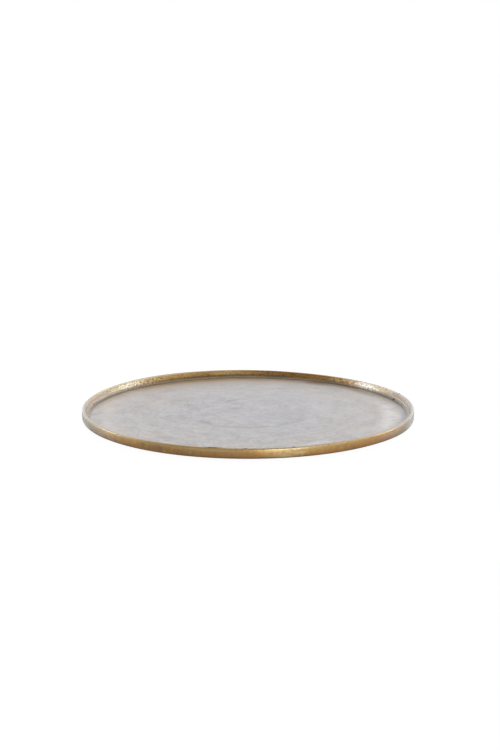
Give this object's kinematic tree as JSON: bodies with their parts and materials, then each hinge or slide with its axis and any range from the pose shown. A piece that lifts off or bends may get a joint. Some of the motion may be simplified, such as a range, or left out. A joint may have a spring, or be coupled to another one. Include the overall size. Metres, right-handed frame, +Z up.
{
  "type": "candle plate",
  "caption": "Round, flat candle plate: a brushed metal disc inside a low rim of rolled antiqued brass bar, on felt pads.",
  "frame": {"origin": "on the table, under the centre of the plate", "axes": "+Z up, out of the plate; the picture looks along +Y, and the rim's seam is 18.7 degrees round from +X towards +Y"},
  "size_m": [0.3, 0.3, 0.011],
  "materials": {
    "rim": "antiqued, satin",
    "bead": "dark patina, satin",
    "floor": "brushed in circles, satin",
    "felt": "wool felt",
    "film": "clear adhesive on a thin carrier"
  },
  "bodies": {
    "root": {"rim_hoop": "rim", "hoop_seam": "rim", "floor_disc": "floor", "foot_bead": "bead", "felt_pad_1": "felt", "felt_pad_2": "felt", "felt_pad_3": "felt", "felt_pad_4": "felt", "pad_film_1": "film", "pad_film_2": "film", "pad_film_3": "film", "pad_film_4": "film"}
  },
  "joints": []
}
